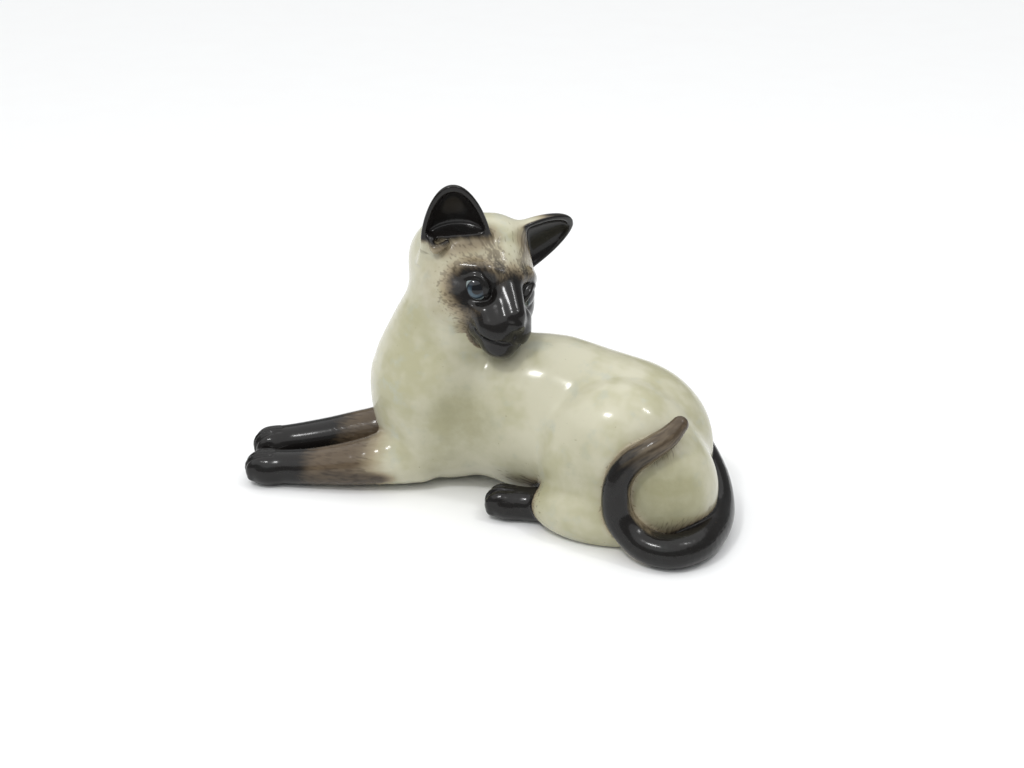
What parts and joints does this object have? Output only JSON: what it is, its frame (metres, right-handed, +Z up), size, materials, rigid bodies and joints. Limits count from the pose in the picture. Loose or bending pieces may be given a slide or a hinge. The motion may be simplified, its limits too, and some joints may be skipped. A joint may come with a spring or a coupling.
{
  "type": "ceramic cat figurine",
  "caption": "Glazed ceramic figurine of a lying Siamese cat with outstretched forelegs, its head turned back over its shoulder and its tail curled along its haunch.",
  "frame": {"origin": "centre of the bounding box in plan, on the plane that the figurine stands on", "axes": "+X towards the rump, -X towards the forepaws, -Y on the cat's left side, +Z up"},
  "size_m": [0.1886, 0.083, 0.1186],
  "materials": {
    "cream_glaze": "clear gloss glaze over an airbrushed olive-cream underglaze",
    "dark_glaze": "clear gloss glaze over an airbrushed brown-black underglaze",
    "eye_enamel": "high gloss painted iris and pupil"
  },
  "bodies": {
    "root": {"torso_shell": "cream_glaze", "head_shell": "cream_glaze", "left_ear": "dark_glaze", "right_ear": "dark_glaze", "left_foreleg": "dark_glaze", "right_foreleg": "dark_glaze", "left_hind_foot": "dark_glaze", "right_hind_foot": "dark_glaze", "tail": "dark_glaze"}
  },
  "joints": []
}
